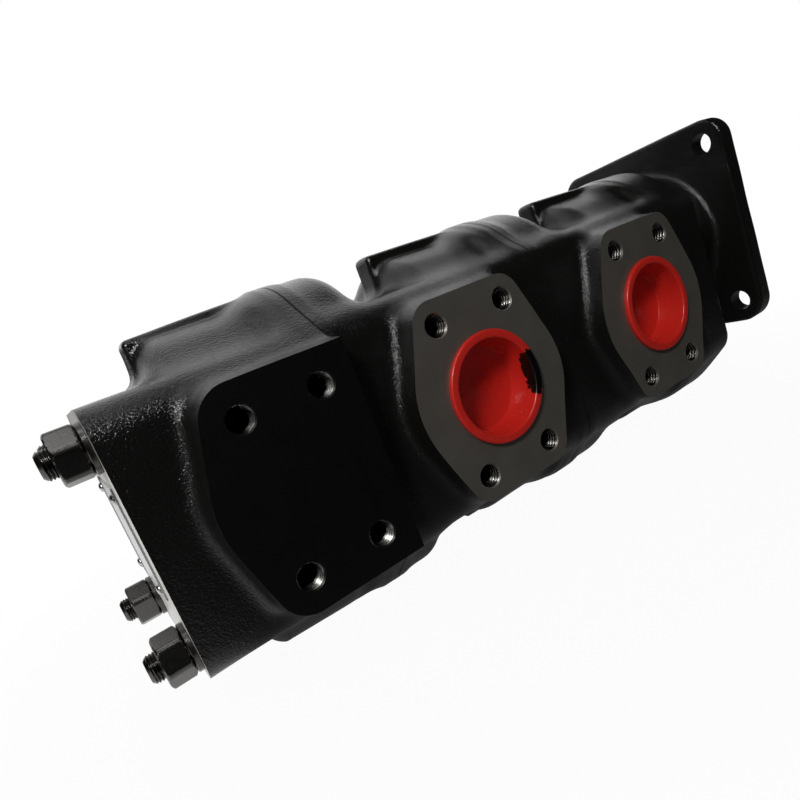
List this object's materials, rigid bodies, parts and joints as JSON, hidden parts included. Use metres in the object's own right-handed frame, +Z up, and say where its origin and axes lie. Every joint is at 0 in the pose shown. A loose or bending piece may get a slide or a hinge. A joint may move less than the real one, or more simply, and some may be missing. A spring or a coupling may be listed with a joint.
{
  "type": "hydraulic gear pump",
  "caption": "Long multi-section external gear pump in black cast iron, with a square mounting flange, a splined drive shaft and flanged inlet ports closed by plastic caps.",
  "frame": {"origin": "on the drive shaft's axis, in the mounting face of the flange", "axes": "+X along the drive shaft towards the engine, -Y towards the inlet side, +Z up from the idler gears to the drive gears"},
  "size_m": [0.5093, 0.158, 0.1845],
  "materials": {
    "black_painted_iron": "gloss black paint over rough casting, port and rear faces bare and machined",
    "red_plastic": "semi gloss moulded polyethylene",
    "bearing_bronze": "plain bearing lining",
    "plate_bronze": "lapped",
    "seal_rubber": "matt nitrile rubber",
    "black_oxide_steel": "black oxide, oiled",
    "bare_aluminium": "bare sheet",
    "plated_steel": "zinc plated",
    "ground_steel": "ground and hardened"
  },
  "bodies": {
    "housing": {"bush_front_drive_back": "bearing_bronze", "bush_front_drive_front": "bearing_bronze", "bush_front_idler_back": "bearing_bronze", "bush_front_idler_front": "bearing_bronze", "bush_middle_drive_back": "bearing_bronze", "bush_middle_drive_front": "bearing_bronze", "bush_middle_idler_back": "bearing_bronze", "bush_middle_idler_front": "bearing_bronze", "bush_rear_drive_back": "bearing_bronze", "bush_rear_drive_front": "bearing_bronze", "bush_rear_idler_back": "bearing_bronze", "bush_rear_idler_front": "bearing_bronze", "dowel_pins": "ground_steel", "front_housing": "black_painted_iron", "middle_housing": "black_painted_iron", "nameplate": "bare_aluminium", "nameplate_screws": "plated_steel", "plate_seal_front_back": "seal_rubber", "plate_seal_front_front": "seal_rubber", "plate_seal_middle_back": "seal_rubber", "plate_seal_middle_front": "seal_rubber", "plate_seal_rear_back": "seal_rubber", "plate_seal_rear_front": "seal_rubber", "rear_housing": "black_painted_iron", "retaining_ring": "black_oxide_steel", "section_seal_front": "seal_rubber", "section_seal_middle": "seal_rubber", "section_seal_rear": "seal_rubber", "shaft_end_cover": "black_painted_iron", "shaft_seal": "seal_rubber", "thrust_plate_front_back": "plate_bronze", "thrust_plate_front_front": "plate_bronze", "thrust_plate_middle_back": "plate_bronze", "thrust_plate_middle_front": "plate_bronze", "thrust_plate_rear_back": "plate_bronze", "thrust_plate_rear_front": "plate_bronze", "tie_nuts": "black_oxide_steel", "tie_studs": "black_oxide_steel", "tie_washers": "black_oxide_steel"},
    "drive_line": {"coupling_shaft_front": "ground_steel", "coupling_shaft_rear": "ground_steel", "drive_gear_middle": "ground_steel", "drive_gear_rear": "ground_steel", "drive_shaft": "ground_steel"},
    "idler_front": {"idler_gear_front": "ground_steel"},
    "idler_middle": {"idler_gear_middle": "ground_steel"},
    "idler_rear": {"idler_gear_rear": "ground_steel"},
    "inlet_cap_front_body": {"inlet_cap_front": "red_plastic"},
    "inlet_cap_middle_body": {"inlet_cap_middle": "red_plastic"},
    "outlet_cap_front_body": {"outlet_cap_front": "red_plastic"},
    "outlet_cap_middle_body": {"outlet_cap_middle": "red_plastic"},
    "outlet_cap_rear_body": {"outlet_cap_rear": "red_plastic"}
  },
  "joints": [
    {"name": "drive_spin", "type": "hinge", "parent": "housing", "child": "drive_line", "pos_m": [0, 0, 0], "axis": [1, 0, 0], "continuous": true},
    {"name": "idler_spin_front", "type": "hinge", "parent": "housing", "child": "idler_front", "pos_m": [-0.0941, 0, -0.0508], "axis": [1, 0, 0], "continuous": true},
    {"name": "idler_spin_middle", "type": "hinge", "parent": "housing", "child": "idler_middle", "pos_m": [-0.2285, 0, -0.0508], "axis": [1, 0, 0], "continuous": true},
    {"name": "idler_spin_rear", "type": "hinge", "parent": "housing", "child": "idler_rear", "pos_m": [-0.3598, 0, -0.0508], "axis": [1, 0, 0], "continuous": true},
    {"name": "inlet_cap_front_pull", "type": "slide", "parent": "housing", "child": "inlet_cap_front_body", "axis": [0, -1, 0], "range_m": [0, 0.03]},
    {"name": "inlet_cap_middle_pull", "type": "slide", "parent": "housing", "child": "inlet_cap_middle_body", "axis": [0, -1, 0], "range_m": [0, 0.03]},
    {"name": "outlet_cap_front_pull", "type": "slide", "parent": "housing", "child": "outlet_cap_front_body", "axis": [0, 1, 0], "range_m": [0, 0.03]},
    {"name": "outlet_cap_middle_pull", "type": "slide", "parent": "housing", "child": "outlet_cap_middle_body", "axis": [0, 1, 0], "range_m": [0, 0.03]},
    {"name": "outlet_cap_rear_pull", "type": "slide", "parent": "housing", "child": "outlet_cap_rear_body", "axis": [0, 1, 0], "range_m": [0, 0.03]}
  ],
  "couplings": [
    {"joint": "idler_spin_front", "follows": "drive_spin", "ratio": -1},
    {"joint": "idler_spin_middle", "follows": "drive_spin", "ratio": -1},
    {"joint": "idler_spin_rear", "follows": "drive_spin", "ratio": -1}
  ]
}
